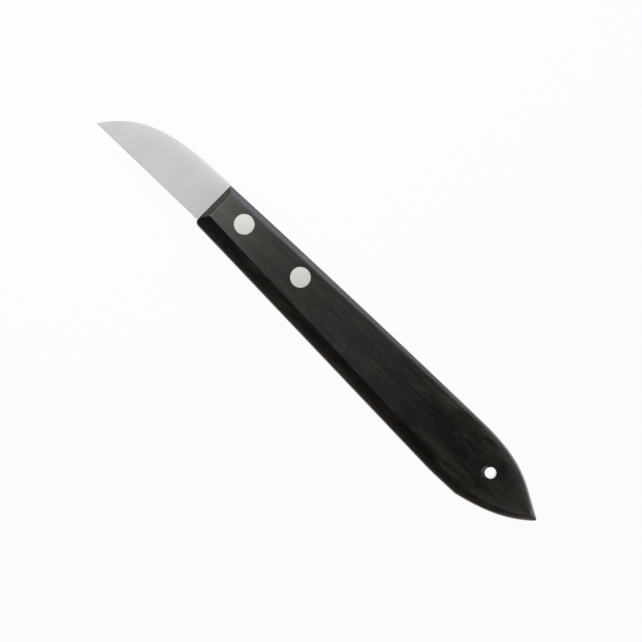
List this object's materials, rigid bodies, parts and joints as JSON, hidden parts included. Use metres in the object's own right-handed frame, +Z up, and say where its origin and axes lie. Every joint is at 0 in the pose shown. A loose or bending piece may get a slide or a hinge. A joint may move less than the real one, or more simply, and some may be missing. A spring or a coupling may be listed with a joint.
{
  "type": "herring knife",
  "caption": "Small fixed-blade herring knife: short pointed flat-ground steel blade riveted into the slot of a dark bevelled wooden handle with a pointed butt and a hanging hole.",
  "frame": {"origin": "centre of the knife's outline, on the surface that it lies on, with the knife on its side", "axes": "+X from the blade's tip to the handle's butt, +Y from the edge to the spine, +Z up through the thickness"},
  "size_m": [0.1704, 0.0224, 0.011],
  "materials": {
    "blade_steel": "satin ground stainless steel",
    "stained_wood": "black-brown stain under a thin satin coat",
    "rivet_metal": "ground flush with the wood"
  },
  "bodies": {
    "root": {"blade": "blade_steel", "handle": "stained_wood", "front_rivet_pin": "rivet_metal", "front_rivet_tube": "rivet_metal", "rear_rivet_pin": "rivet_metal", "rear_rivet_tube": "rivet_metal"}
  },
  "joints": []
}
